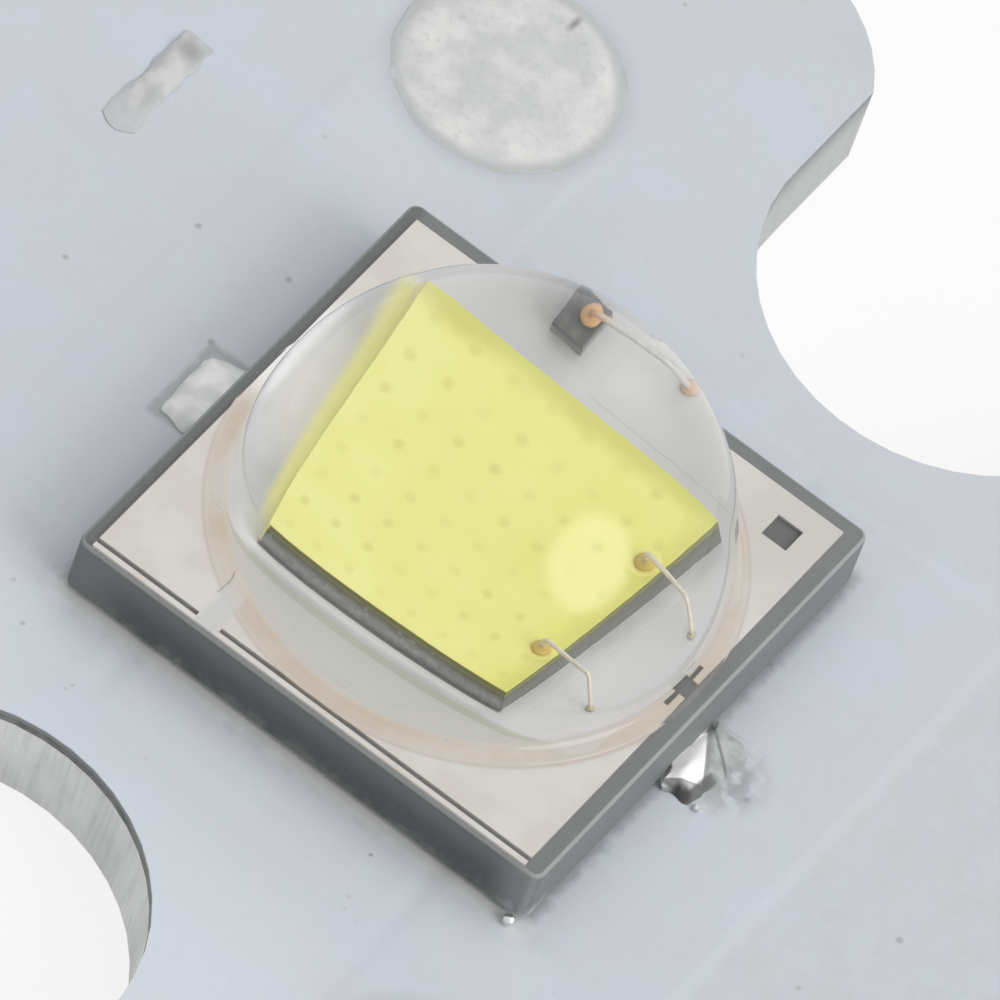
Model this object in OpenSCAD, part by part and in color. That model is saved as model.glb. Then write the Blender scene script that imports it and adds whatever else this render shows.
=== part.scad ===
// Power LED emitter soldered to a round metal-core board with two screw notches.
// +X points to the emitter's anode side, +Z is the way the light goes, and the
// origin is the middle of the board's underside. All sizes are in millimetres.

/* [Board] */
// Diameter of the round board
board_d = 16; // [15.6:0.1:20]
// Thickness of the aluminium core
core_t = 0.85; // [0.5:0.05:2]
// Thickness of the insulating layer on the core
laminate_t = 0.08; // [0.05:0.01:0.15]
// Thickness of the copper foil
copper_t = 0.04; // [0.03:0.005:0.1]
// Thickness of the solder mask over the copper
mask_t = 0.03; // [0.02:0.005:0.06]
// How much lower the mask lies where there is no copper under it
mask_relief = 0.015; // [0.005:0.005:0.03]

/* [Screw notches] */
// Radius of the round end of a notch
notch_r = 1.92; // [1.4:0.02:2.1]
// Distance from the board's axis to the centre of that round end
notch_pos = 5.91; // [5.7:0.01:6.6]
// Direction of the first notch, the second one is opposite
notch_angle = 75.35; // [70:0.05:80]
// Lean of each side wall away from the notch's own axis
notch_flare = 14.65; // [8:0.05:18]
// Radius of the round corner that leads from the rim to a notch wall
notch_corner_r = 1.6; // [1.45:0.05:1.9]
// Angle between the notch's axis and the place where that corner leaves the rim
notch_corner_at = 31.1; // [30:0.1:33]

/* [Copper pattern] */
// Width of the anode and of the cathode copper
trace_w = 2.13; // [1.8:0.01:2.3]
// How far that copper runs past the emitter's middle, away from its wire pad
trace_end = 3.1; // [2.6:0.05:3.3]
// Gap between neighbouring coppers
copper_gap = 0.25; // [0.15:0.01:0.4]
// Half the length of the heat-spreading copper under the emitter
spreader_reach = 3.2; // [2.7:0.05:3.6]
// Border of copper that the mask covers round a wire pad
pad_border = 0.12; // [0.05:0.01:0.2]

/* [Wire pads and marks] */
// Radius of a round wire pad
wire_pad_r = 1.035; // [0.7:0.005:1.1]
// Distance of a wire pad's centre from the board's X axis
wire_pad_y = 4.7; // [4.5:0.05:5.2]
// Distance of a wire pad's centre from the board's Y axis
wire_pad_x = 2.89; // [2.6:0.01:3.1]
// Height of the tinned dome on a wire pad
pad_crown = 0.05; // [0.02:0.01:0.15]
// Distance of a polarity mark from the board's Y axis
mark_x = 5.09; // [4.9:0.01:5.6]
// Distance of a polarity mark from the board's X axis
mark_y = 2.4; // [1.8:0.05:3]
// Length of the minus mark
minus_len = 1.25; // [0.6:0.05:1.5]
// Length of each arm of the plus mark
plus_len = 0.95; // [0.6:0.05:1.3]
// Width of the bars of both marks
mark_w = 0.27; // [0.15:0.01:0.4]
// How far the tinned marks stand above the copper
mark_rise = 0.04; // [0.03:0.005:0.08]

/* [Emitter body] */
// Side of the square ceramic body
body_w = 5; // [4.9:0.05:5.3]
// Thickness of the ceramic body
body_t = 0.62; // [0.4:0.02:1]
// Radius of the ceramic body's upright corners
body_corner_r = 0.1; // [0.04:0.01:0.2]
// Thickness of the contacts under the ceramic body
contact_t = 0.03; // [0.02:0.005:0.06]
// Border of bare ceramic outside the contacts
contact_inset = 0.08; // [0.05:0.01:0.15]
// Width of the anode and of the cathode contact
contact_w = 0.65; // [0.6:0.01:0.75]
// Gap between a narrow contact and the wide heat contact
contact_gap = 0.35; // [0.28:0.01:0.5]
// Radius of the metal-filled holes through the ceramic
via_r = 0.08; // [0.05:0.005:0.1]
// Distance between neighbouring filled holes
via_pitch = 0.6; // [0.4:0.01:0.75]
// Number of filled holes on each side
via_count = 3; // [1:1:3]

/* [Solder] */
// Thickness of the solder between board and emitter
solder_t = 0.07; // [0.05:0.005:0.12]
// How far the bare solder tab reaches out from the body's side
tab_reach = 0.52; // [0.3:0.02:0.7]
// Width of a solder tab
tab_w = 0.86; // [0.5:0.02:1.2]
// Height of the cathode tab's solder above the copper
cathode_tab_h = 0.2; // [0.14:0.01:0.3]
// Height of the anode tab's solder above the copper
anode_tab_h = 0.34; // [0.2:0.01:0.45]
// Diameter of the stray solder ball at the foot of the body
solder_ball_d = 0.12; // [0.06:0.01:0.14]

/* [Lands on top of the ceramic] */
// Thickness of the lands
land_t = 0.03; // [0.015:0.005:0.05]
// Border of bare ceramic on the cathode side
land_inset_cathode = 0.14; // [0.08:0.01:0.25]
// Border of bare ceramic on the other sides
land_inset = 0.18; // [0.1:0.01:0.25]
// Width of the groove between the outer land and the narrow front strip
land_gap = 0.05; // [0.03:0.005:0.06]
// Gap between the lands that lie under the lens
field_gap = 0.02; // [0.015:0.005:0.05]
// Width of the narrow strip along the front edge
strip_w = 0.05; // [0.03:0.005:0.06]
// Width of the tie bar that crosses the strip's gap
tie_w = 0.24; // [0.1:0.01:0.4]
// Place of the tie bar along the front edge
tie_x = -1.15; // [-1.8:0.05:1.8]
// Side of the square index window
index_w = 0.27; // [0.15:0.01:0.35]
// Distance of the index window's middle from both axes
index_pos = 1.93; // [1.88:0.01:2]
// Length of the bar in the anode mark's window
anode_mark_len = 0.54; // [0.3:0.01:0.8]
// Width of the anode mark's bar
anode_mark_w = 0.07; // [0.04:0.005:0.1]
// Width of the short arm that joins the bar to the bare border
anode_mark_arm = 0.2; // [0.1:0.01:0.3]
// Front edge of the chip's land, measured from the axis
chip_land_front = 1.38; // [1.3:0.01:1.5]
// Back edge of the inner lands, measured from the axis
chip_land_back = 1.72; // [1.68:0.01:1.8]
// Place along X where the diode's land ends
diode_land_end = -0.14; // [-0.2:0.01:0.05]

/* [Chip] */
// Side of the square chip
chip_w = 2.15; // [1.9:0.01:2.2]
// Thickness of the chip
chip_t = 0.14; // [0.08:0.01:0.2]
// Shift of the chip along X
chip_x = -0.03; // [-0.06:0.01:0.04]
// Shift of the chip along Y
chip_y = -0.05; // [-0.1:0.01:0]
// Bare border of land round the chip
chip_border = 0.13; // [0.08:0.01:0.2]
// Thickness of the bond under the chip
attach_t = 0.02; // [0.01:0.005:0.04]
// Thickness of the phosphor layer
phosphor_t = 0.05; // [0.03:0.005:0.1]
// Radius of the chip's bond pads
bond_pad_r = 0.09; // [0.075:0.005:0.12]
// Distance of a bond pad's centre from the chip's anode edge
bond_pad_inset = 0.12; // [0.115:0.005:0.2]
// Half the distance between the two bond pads
bond_pad_half = 0.52; // [0.3:0.01:0.8]

/* [Wires] */
// Diameter of the gold wire
wire_d = 0.04; // [0.03:0.005:0.05]
// Diameter of the ball where a wire starts
ball_d = 0.14; // [0.1:0.01:0.15]
// Height of that ball
ball_h = 0.06; // [0.04:0.005:0.08]
// Height of a wire's level run above its ball
wire_rise = 0.08; // [0.04:0.01:0.15]
// Slope of the wire's last stretch, down to its flattened end
wire_fall = 72; // [60:1:80]
// How far a chip wire lands beyond the chip's edge
wire_reach = 0.48; // [0.4:0.01:0.55]
// How far a chip wire drifts sideways over its length
wire_drift = -0.07; // [-0.1:0.01:0.1]
// Diameter of the flattened end of a wire
stitch_d = 0.08; // [0.06:0.01:0.12]
// Thickness of the flattened end of a wire
stitch_t = 0.03; // [0.02:0.005:0.04]

/* [Protection diode] */
// Side of the square diode chip
diode_w = 0.2; // [0.16:0.01:0.26]
// Thickness of the diode chip
diode_t = 0.12; // [0.08:0.01:0.2]
// Place of the diode along X
diode_x = -0.38; // [-0.6:0.01:-0.36]
// Place of the diode along Y
diode_y = 1.4; // [1.33:0.01:1.5]
// Place where the diode's wire lands, along X
diode_wire_x = 0.23; // [0.1:0.01:0.6]
// Place where the diode's wire lands, along Y
diode_wire_y = 1.5; // [1.35:0.01:1.6]

/* [Lens] */
// Radius of the dome's sphere
lens_r = 2.22; // [2.18:0.01:2.24]
// Height of the sphere's centre above the lands
lens_rise = 0.19; // [0.1:0.01:0.5]
// Width of the flat foot round the dome
foot_w = 0.18; // [0.15:0.01:0.22]
// Thickness of the foot
foot_t = 0.04; // [0.02:0.005:0.08]
// Height to which the foot slopes up the dome
foot_slope = 0.1; // [0.05:0.01:0.2]

/* [Hidden] */
$fn = 96;
over = 1; // how far a cutting shape runs past what it cuts

// Levels, from the board's underside up
laminate_z = core_t;
copper_z = laminate_z + laminate_t;
copper_top = copper_z + copper_t;
mask_top = copper_top + mask_t;
contact_z = copper_top + solder_t;
body_z = contact_z + contact_t;
body_top = body_z + body_t;
land_top = body_top + land_t;
chip_z = land_top + attach_t;
chip_top = chip_z + chip_t;
diode_top = land_top + diode_t;
lens_z = land_top + lens_rise;

// Rows of the emitter, as distances from its Y axis
body_half = body_w / 2;
contact_out = body_half - contact_inset;
contact_in = contact_out - contact_w;
heat_half_w = contact_in - contact_gap;
trace_in = contact_in;
trace_out = trace_in + trace_w;
spreader_half_w = trace_in - copper_gap;
via_x = (contact_in + contact_out) / 2 - contact_w / 4;
pad_copper_r = wire_pad_r + pad_border;

// The inner lands end inside the lens's foot
field_half_w = via_x + via_r + 0.04;
field_r = lens_r + foot_w - 0.08;
chip_land_right = chip_x + chip_w / 2 + chip_border;
chip_land_back_edge = chip_y + chip_w / 2 + chip_border;

// Bond pads on the chip
bond_pad_x = chip_x + chip_w / 2 - bond_pad_inset;
bond_pad_t = phosphor_t / 2;
bond_pad_rows = [chip_y - bond_pad_half, chip_y + bond_pad_half];
bond_pad_clear = 0.02;

// A notch's wall leaves its round end along a tangent and stops where it meets the
// corner arc, and that arc runs into the rim. Each of them overlaps the next by a hair.
tuck = 0.002; // that hair, and how far a wire's straight stretch ends inside its elbow
board_r = board_d / 2;
mouth_x = board_r + over;
wall_dir = [cos(notch_flare), sin(notch_flare)];
wall_out = [-sin(notch_flare), cos(notch_flare)];
wall_start = [notch_pos, 0] + (notch_r - tuck) * wall_out;
wall_far = wall_start + board_r * wall_dir;
rim_dir = [cos(notch_corner_at), sin(notch_corner_at)];
corner_mid = (board_r - notch_corner_r + tuck) * rim_dir;
rim_outside = mouth_x * rim_dir;

function flip(p) = [p[0], -p[1]];

// What one corner of a notch takes away between the end of its wall and the rim
module notch_corner() {
    difference() {
        polygon([corner_mid, rim_outside, [mouth_x, -over], [corner_mid[0], -over]]);
        translate(corner_mid) circle(r = notch_corner_r);
    }
}

// One screw notch as a flat shape, opening along +X
module notch_shape() {
    translate([notch_pos, 0]) circle(r = notch_r);
    polygon([[notch_pos, 0], wall_start, wall_far, flip(wall_far), flip(wall_start)]);
    notch_corner();
    mirror([0, 1]) notch_corner();
}

module board_shape() {
    difference() {
        circle(d = board_d);
        for (turn = [0, 180]) rotate(notch_angle + turn) notch_shape();
    }
}

module layer(z, t) {
    translate([0, 0, z]) linear_extrude(t) children();
}

// A rectangle between two corners
module span(low, high) {
    translate(low) square(high - low);
}

// The anode side's shapes; the cathode side has the same ones turned half round
module trace_shape(grow = 0) {
    span([trace_in - grow, -wire_pad_y], [trace_out + grow, trace_end + grow]);
    translate([wire_pad_x, -wire_pad_y]) circle(r = pad_copper_r + grow);
}

module spreader_shape(grow = 0) {
    half = [spreader_half_w + grow, spreader_reach + grow];
    span(-half, half);
}

module wire_pad_shape() {
    translate([wire_pad_x, -wire_pad_y]) circle(r = wire_pad_r);
}

// Opening under a narrow contact, with the tab that shows beside the body
module contact_opening() {
    span([contact_in, -contact_out], [contact_out, contact_out]);
    span([contact_out - 0.05, -tab_w / 2], [body_half + tab_reach, tab_w / 2]);
}

module heat_opening() {
    half = [heat_half_w, contact_out];
    span(-half, half);
}

module minus_shape() {
    half = [mark_w, minus_len] / 2;
    translate([-mark_x, mark_y]) span(-half, half);
}

module plus_shape() {
    half = [mark_w, plus_len] / 2;
    translate([mark_x, -mark_y]) {
        span(-half, half);
        rotate(90) span(-half, half);
    }
}

module coppers(grow = 0) {
    for (turn = [0, 180]) rotate(turn) trace_shape(grow);
    spreader_shape(grow);
}

module mask_openings() {
    for (turn = [0, 180]) rotate(turn) {
        wire_pad_shape();
        contact_opening();
    }
    heat_opening();
    minus_shape();
    plus_shape();
}

module core_plate() {
    color("silver") layer(0, core_t) board_shape();
}

module laminate() {
    color("dimgray") layer(laminate_z, laminate_t) board_shape();
}

module anode_trace() {
    color("peru") layer(copper_z, copper_t) trace_shape();
}

module cathode_trace() {
    color("peru") layer(copper_z, copper_t) rotate(180) trace_shape();
}

module heat_spreader() {
    color("peru") layer(copper_z, copper_t) spreader_shape();
}

// The mask follows the copper: it stands a little higher wherever copper lies under it
module solder_mask() {
    color("gainsboro") difference() {
        union() {
            layer(copper_z, copper_t + mask_t - mask_relief) board_shape();
            layer(copper_z, copper_t + mask_t) coppers(mask_t);
        }
        layer(copper_z, copper_t) coppers();
        layer(copper_z - over, over * 2) mask_openings();
    }
}

// A disc whose crown falls to its rim in three straight slopes, as solder sets on a round pad
module tinned_disc(r, wall_h, crown) {
    slopes = [for (i = [4 : -1 : 1]) [r * i / 4, wall_h + crown * (16 - i * i) / 15]];
    rotate_extrude() polygon(concat([[0, 0], [r, 0]], slopes, [[0, wall_h + crown]]));
}

module plus_wire_pad() {
    color("lightgray") translate([wire_pad_x, -wire_pad_y, copper_top])
        tinned_disc(wire_pad_r, mask_t, pad_crown);
}

module minus_wire_pad() {
    color("lightgray") translate([-wire_pad_x, wire_pad_y, copper_top])
        tinned_disc(wire_pad_r, mask_t, pad_crown);
}

module minus_mark() {
    color("lightgray") layer(copper_z, copper_t + mark_rise) minus_shape();
}

module plus_mark() {
    color("lightgray") layer(copper_z, copper_t + mark_rise) plus_shape();
}

// Solder beside the body: a mound that falls away from the body and to both sides
module tab_mound(h) {
    run_r = (tab_reach * tab_reach + h * h) / (2 * h);
    side_r = (tab_w * tab_w / 4 + h * h) / (2 * h);
    intersection() {
        translate([0, -tab_w / 2, 0]) cube([tab_reach, tab_w, h]);
        translate([0, 0, h - run_r]) rotate([90, 0, 0])
            cylinder(r = run_r, h = tab_w + over, center = true);
        translate([0, 0, h - side_r]) rotate([0, 90, 0])
            cylinder(r = side_r, h = 2 * tab_reach + over, center = true);
    }
}

module side_solder(h) {
    layer(copper_top, solder_t) span([contact_in, -contact_out], [contact_out, contact_out]);
    layer(copper_top, solder_t + contact_t) span([contact_out, -tab_w / 2], [body_half, tab_w / 2]);
    layer(copper_top, mask_t) span([body_half, -tab_w / 2], [body_half + tab_reach, tab_w / 2]);
    translate([body_half, 0, copper_top]) tab_mound(h);
}

module anode_solder() {
    color("lightgray") side_solder(anode_tab_h);
}

module cathode_solder() {
    color("lightgray") rotate(180) side_solder(cathode_tab_h);
}

module heat_solder() {
    color("lightgray") layer(copper_top, solder_t) heat_opening();
}

// A stray ball that sits on the mask in front of the body's corner
module solder_ball() {
    ball_r = solder_ball_d / 2;
    color("lightgray") translate([body_half - body_corner_r, -body_half - ball_r - 0.01, mask_top])
        difference() {
            translate([0, 0, ball_r * 0.8]) sphere(r = ball_r);
            translate([0, 0, -solder_ball_d]) cube(2 * solder_ball_d, center = true);
        }
}

module body_shape() {
    flat = body_half - body_corner_r;
    span([-body_half, -flat], [body_half, flat]);
    span([-flat, -body_half], [flat, body_half]);
    for (x = [-flat, flat], y = [-flat, flat]) translate([x, y]) circle(r = body_corner_r);
}

module via_row(side) {
    first = -(via_count - 1) * via_pitch / 2;
    for (i = [0 : via_count - 1])
        translate([side * via_x, first + i * via_pitch, body_z]) cylinder(r = via_r, h = body_t);
}

module ceramic_body() {
    color("gray") difference() {
        layer(body_z, body_t) body_shape();
        via_row(-1);
        via_row(1);
    }
}

module cathode_vias() {
    color("silver") via_row(-1);
}

module anode_vias() {
    color("silver") via_row(1);
}

module side_contact() {
    layer(contact_z, contact_t) span([contact_in, -contact_out], [contact_out, contact_out]);
}

module anode_contact() {
    color("silver") side_contact();
}

module cathode_contact() {
    color("silver") rotate(180) side_contact();
}

module heat_contact() {
    color("silver") layer(contact_z, contact_t) heat_opening();
}

// The field of inner lands, cut round so that the lens's foot covers its ends
module field_shape(grow = 0) {
    intersection() {
        circle(r = field_r + grow);
        span([-field_half_w - grow, -chip_land_front - grow],
             [field_half_w + grow, chip_land_back + grow]);
    }
}

// The anode's share of that field: a column beside the chip and an arm behind it
module anode_share(grow = 0) {
    far = field_half_w + over;
    span([chip_land_right + field_gap - grow, -far], [far, far]);
    span([diode_land_end + field_gap - grow, chip_land_back_edge + field_gap - grow], [far, far]);
}

module chip_land() {
    color("gainsboro") layer(body_top, land_t) difference() {
        field_shape();
        anode_share(field_gap);
    }
}

module anode_land() {
    color("gainsboro") layer(body_top, land_t) intersection() {
        field_shape();
        anode_share();
    }
}

// The outer land, with its front strip, tie bar, index window and anode mark
module frame_land() {
    left = -body_half + land_inset_cathode;
    right = body_half - land_inset;
    back = body_half - land_inset;
    front = -body_half + land_inset - land_gap;
    mark_x0 = right - anode_mark_arm / 2;
    color("gainsboro") layer(body_top, land_t) difference() {
        union() {
            span([left, front], [right, back]);
            span([left, front - land_gap - strip_w], [right, front - land_gap]);
            span([tie_x - tie_w / 2, front - land_gap - strip_w], [tie_x + tie_w / 2, front + over]);
        }
        field_shape(field_gap);
        translate([index_pos, index_pos]) square(index_w, center = true);
        translate([mark_x0, 0]) square([anode_mark_w, anode_mark_len], center = true);
        translate([mark_x0, 0]) square([anode_mark_arm + anode_mark_w, anode_mark_arm], center = true);
    }
}

module chip_shape() {
    translate([chip_x, chip_y]) square(chip_w, center = true);
}

module chip_attach() {
    color("silver") layer(land_top, attach_t) chip_shape();
}

module led_chip() {
    color("darkslategray") layer(chip_z, chip_t) chip_shape();
}

module phosphor_layer() {
    color("khaki") layer(chip_top, phosphor_t) difference() {
        chip_shape();
        for (y = bond_pad_rows)
            translate([bond_pad_x, y]) circle(r = bond_pad_r + bond_pad_clear);
    }
}

// The bond pads; as a cutting shape they start a hair inside the chip
module bond_pad_discs(sink = 0) {
    for (y = bond_pad_rows) translate([bond_pad_x, y, chip_top - sink])
        cylinder(r = bond_pad_r, h = bond_pad_t + sink);
}

module bond_pads() {
    color("goldenrod") bond_pad_discs();
}

// A ball-bonded wire: squashed ball, short neck, a level run between two bends, and a
// steep last stretch down to its flattened end
module wire(start, end) {
    run = norm([end[0] - start[0], end[1] - start[1]]);
    level = ball_h + wire_rise;
    drop = level - (end[2] + wire_d / 2 - start[2]);
    fall_x = run - drop / tan(wire_fall);
    translate(start) rotate(atan2(end[1] - start[1], end[0] - start[0])) {
        translate([0, 0, ball_h / 2]) intersection() {
            sphere(d = ball_d);
            cube([ball_d, ball_d, ball_h], center = true);
        }
        translate([0, 0, ball_h / 2]) cylinder(d = wire_d, h = level - ball_h / 2 - tuck);
        translate([0, 0, level]) wire_elbow();
        translate([tuck, 0, level]) rotate([0, 90, 0])
            cylinder(d = wire_d, h = fall_x - 2 * tuck);
        translate([fall_x, 0, level]) wire_elbow();
        translate([fall_x, 0, level]) rotate([0, 90 + wire_fall, 0]) translate([0, 0, tuck])
            cylinder(d = wire_d, h = drop / sin(wire_fall) - tuck);
    }
    translate(end) cylinder(d = stitch_d, h = stitch_t);
}

// The round of a wire at one of its two bends, a hair wider than the wire
module wire_elbow() {
    sphere(d = wire_d * 1.06);
}

module bond_wires() {
    color("gold") for (y = bond_pad_rows)
        wire([bond_pad_x, y, chip_top + bond_pad_t],
             [chip_x + chip_w / 2 + wire_reach, y + wire_drift, land_top]);
}

module protection_diode() {
    color("dimgray") layer(land_top, diode_t)
        translate([diode_x, diode_y]) square(diode_w, center = true);
}

module diode_wire() {
    color("gold") wire([diode_x, diode_y, diode_top], [diode_wire_x, diode_wire_y, land_top]);
}

// The moulded dome with its foot, closed round everything that it encloses
module lens() {
    foot_r = lens_r + foot_w;
    skirt_r = sqrt(lens_r * lens_r - lens_rise * lens_rise);
    color("white", 0.3) difference() {
        union() {
            intersection() {
                translate([0, 0, lens_z]) sphere(r = lens_r);
                translate([0, 0, land_top]) cylinder(r = foot_r, h = lens_rise + lens_r);
            }
            translate([0, 0, land_top]) cylinder(r = foot_r, h = foot_t);
            translate([0, 0, land_top + foot_t])
                cylinder(r1 = (foot_r + lens_r) / 2, r2 = skirt_r, h = foot_slope);
        }
        layer(land_top, attach_t + chip_t) chip_shape();
        phosphor_layer();
        bond_pad_discs(tuck);
        bond_wires();
        protection_diode();
        diode_wire();
    }
}

core_plate();
laminate();
cathode_trace();
anode_trace();
heat_spreader();
solder_mask();
minus_wire_pad();
plus_wire_pad();
minus_mark();
plus_mark();
cathode_solder();
anode_solder();
heat_solder();
solder_ball();
ceramic_body();
cathode_contact();
anode_contact();
heat_contact();
cathode_vias();
anode_vias();
chip_land();
anode_land();
frame_land();
chip_attach();
led_chip();
phosphor_layer();
bond_pads();
bond_wires();
protection_diode();
diode_wire();
lens();
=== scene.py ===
import math
import bpy
import bmesh
from mathutils import Matrix, Vector, noise


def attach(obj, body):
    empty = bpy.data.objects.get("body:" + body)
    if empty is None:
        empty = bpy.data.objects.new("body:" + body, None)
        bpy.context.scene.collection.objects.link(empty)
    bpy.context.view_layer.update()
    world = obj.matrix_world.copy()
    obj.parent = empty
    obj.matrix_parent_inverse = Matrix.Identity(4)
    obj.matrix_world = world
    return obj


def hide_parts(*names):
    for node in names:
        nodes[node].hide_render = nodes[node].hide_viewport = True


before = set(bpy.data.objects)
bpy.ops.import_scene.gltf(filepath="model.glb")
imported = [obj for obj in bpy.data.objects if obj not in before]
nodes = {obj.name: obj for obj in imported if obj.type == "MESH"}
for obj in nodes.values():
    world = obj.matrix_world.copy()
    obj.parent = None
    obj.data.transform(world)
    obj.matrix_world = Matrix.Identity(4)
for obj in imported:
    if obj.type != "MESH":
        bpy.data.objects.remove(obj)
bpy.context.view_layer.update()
mm = 0.001
# heights above the board's underside, in millimetres as all lengths of the pieces are
level = {"solderFoot": 0.971, "mask": 1.0, "tinned": 1.0008, "land": 1.72}
print("frame loaded:", len(nodes), "nodes")


def vertsIn(geom):
    return [g for g in geom if isinstance(g, bmesh.types.BMVert)]


def edgesIn(geom):
    return [g for g in geom if isinstance(g, bmesh.types.BMEdge)]


def meshObject(name, bm, material, replaced=(), sharpAngle=60):
    bmesh.ops.remove_doubles(bm, verts=bm.verts, dist=1e-8)
    bmesh.ops.recalc_face_normals(bm, faces=bm.faces)
    bmesh.ops.scale(bm, verts=bm.verts, vec=(mm, mm, mm))
    mesh = bpy.data.meshes.new(name)
    bm.to_mesh(mesh)
    bm.free()
    mesh.shade_smooth()
    mesh.set_sharp_from_angle(angle=math.radians(sharpAngle))
    piece = bpy.data.objects.new(name, mesh)
    bpy.context.scene.collection.objects.link(piece)
    mesh.materials.append(material)
    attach(piece, "root")
    if replaced:
        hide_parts(*replaced)
    return piece


def disc(bm, radius, low, high, segments, x=0, y=0):
    made = bmesh.ops.create_cone(bm, cap_ends=True, segments=segments, radius1=radius, radius2=radius,
                                 depth=high - low)["verts"]
    bmesh.ops.translate(bm, verts=made, vec=(x, y, (high + low) / 2))


def closeHoles(bm):
    bmesh.ops.holes_fill(bm, edges=[e for e in bm.edges if e.is_boundary], sides=0)


def fromPhoto(tone):
    # 0 to 255 as seen on screen, to the linear value that a shader takes
    return tuple(((c / 255 + 0.055) / 1.055) ** 2.4 if c > 10 else c / 255 / 12.92 for c in tone) + (1,)


def put(tree, kind, given=None, **settings):
    # a given input is a plain value, or a socket to link
    made = tree.nodes.new(kind)
    for key, value in settings.items():
        setattr(made, key, value)
    for key, item in (given or {}).items():
        if isinstance(item, bpy.types.NodeSocket):
            tree.links.new(item, made.inputs[key])
        else:
            made.inputs[key].default_value = item
    return made


def mathNode(tree, operation, *items):
    return put(tree, "ShaderNodeMath", dict(enumerate(items)), operation=operation).outputs[0]


def vectorNode(tree, operation, given):
    return put(tree, "ShaderNodeVectorMath", given, operation=operation).outputs


def mixColour(tree, mask, first, second):
    return put(tree, "ShaderNodeMix", {0: mask, 6: first, 7: second}, data_type="RGBA").outputs[2]


def ramp(tree, value, low, high, toLow=0.0, toHigh=1.0):
    given = dict(enumerate((value, low, high, toLow, toHigh)))
    return put(tree, "ShaderNodeMapRange", given, interpolation_type="SMOOTHSTEP").outputs[0]


def reach(tree, first, second):
    squares = [mathNode(tree, "MULTIPLY", side, side) for side in (first, second)]
    return mathNode(tree, "SQRT", mathNode(tree, "ADD", *squares))


def inMillimetres(tree):
    place = put(tree, "ShaderNodeTexCoord").outputs["Object"]
    return vectorNode(tree, "SCALE", {0: place, "Scale": 1 / mm})[0]


def xyz(tree):
    return put(tree, "ShaderNodeSeparateXYZ", {0: inMillimetres(tree)}).outputs


def randomOf(tree, vector):
    return put(tree, "ShaderNodeTexWhiteNoise", {"Vector": vector}, noise_dimensions="3D").outputs["Value"]


def newGroup(name, inputs, output="Mask", kind="NodeSocketFloat"):
    group = bpy.data.node_groups.new(name, "ShaderNodeTree")
    for key, value in inputs.items():
        socket = group.interface.new_socket(key, in_out="INPUT", socket_type="NodeSocketFloat")
        socket.default_value = value
    group.interface.new_socket(output, in_out="OUTPUT", socket_type=kind)
    return group, group.nodes.new("NodeGroupInput").outputs, group.nodes.new("NodeGroupOutput").inputs[0]


def placeGroup(tree, group, *values, **named):
    # values in the order of the group's inputs, or by their names
    made = tree.nodes.new("ShaderNodeGroup")
    made.node_tree = group
    for place, value in enumerate(values):
        made.inputs[place].default_value = value
    for key, value in named.items():
        made.inputs[key[0].upper() + key[1:]].default_value = value
    return made.outputs[0]


def buildMottle():
    group, given, out = newGroup("mottle", {"ScaleX": 1, "ScaleY": 1, "ScaleZ": 1, "Detail": 3,
                                            "Low": 0.4, "High": 0.6})
    stretch = put(group, "ShaderNodeCombineXYZ", {axis: given[axis] for axis in range(3)}).outputs[0]
    place = vectorNode(group, "MULTIPLY", {0: inMillimetres(group), 1: stretch})[0]
    cloud = put(group, "ShaderNodeTexNoise", {"Vector": place, "Scale": 1.0, "Detail": given["Detail"]})
    group.links.new(ramp(group, cloud.outputs["Fac"], given["Low"], given["High"]), out)
    return group


def buildSpecks():
    group, given, out = newGroup("specks", {"PerMm": 4, "Size": 0.2, "Share": 0.3})
    core = 0.4    # of a speck's size
    place = inMillimetres(group)
    cell = put(group, "ShaderNodeTexVoronoi", {"Vector": place, "Scale": given["PerMm"]}).outputs
    chosen = mathNode(group, "LESS_THAN", randomOf(group, cell["Color"]), given["Share"])
    dot = ramp(group, cell["Distance"], given["Size"], mathNode(group, "MULTIPLY", given["Size"], core))
    group.links.new(mathNode(group, "MULTIPLY", dot, chosen), out)
    return group


def buildDotGrid():
    group, given, out = newGroup("dotGrid", {"Pitch": 0.266, "Radius": 0.04, "MidX": 0, "MidY": 0})
    core, faintest = 0.2, 0.35    # of a dot's radius, and of full strength
    cells, offsets = [], []
    for value, middle in zip(xyz(group), ("MidX", "MidY")):
        shifted = mathNode(group, "DIVIDE", mathNode(group, "SUBTRACT", value, given[middle]), given["Pitch"])
        cells.append(mathNode(group, "FLOOR", shifted))
        rest = mathNode(group, "SUBTRACT", mathNode(group, "SUBTRACT", shifted, cells[-1]), 0.5)
        offsets.append(mathNode(group, "MULTIPLY", rest, given["Pitch"]))
    cell = put(group, "ShaderNodeCombineXYZ", dict(enumerate(cells))).outputs[0]
    uneven = ramp(group, randomOf(group, cell), 0.0, 1.0, faintest, 1.0)
    inner = mathNode(group, "MULTIPLY", given["Radius"], core)
    dot = ramp(group, reach(group, *offsets), given["Radius"], inner)
    group.links.new(mathNode(group, "MULTIPLY", dot, uneven), out)
    return group


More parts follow.
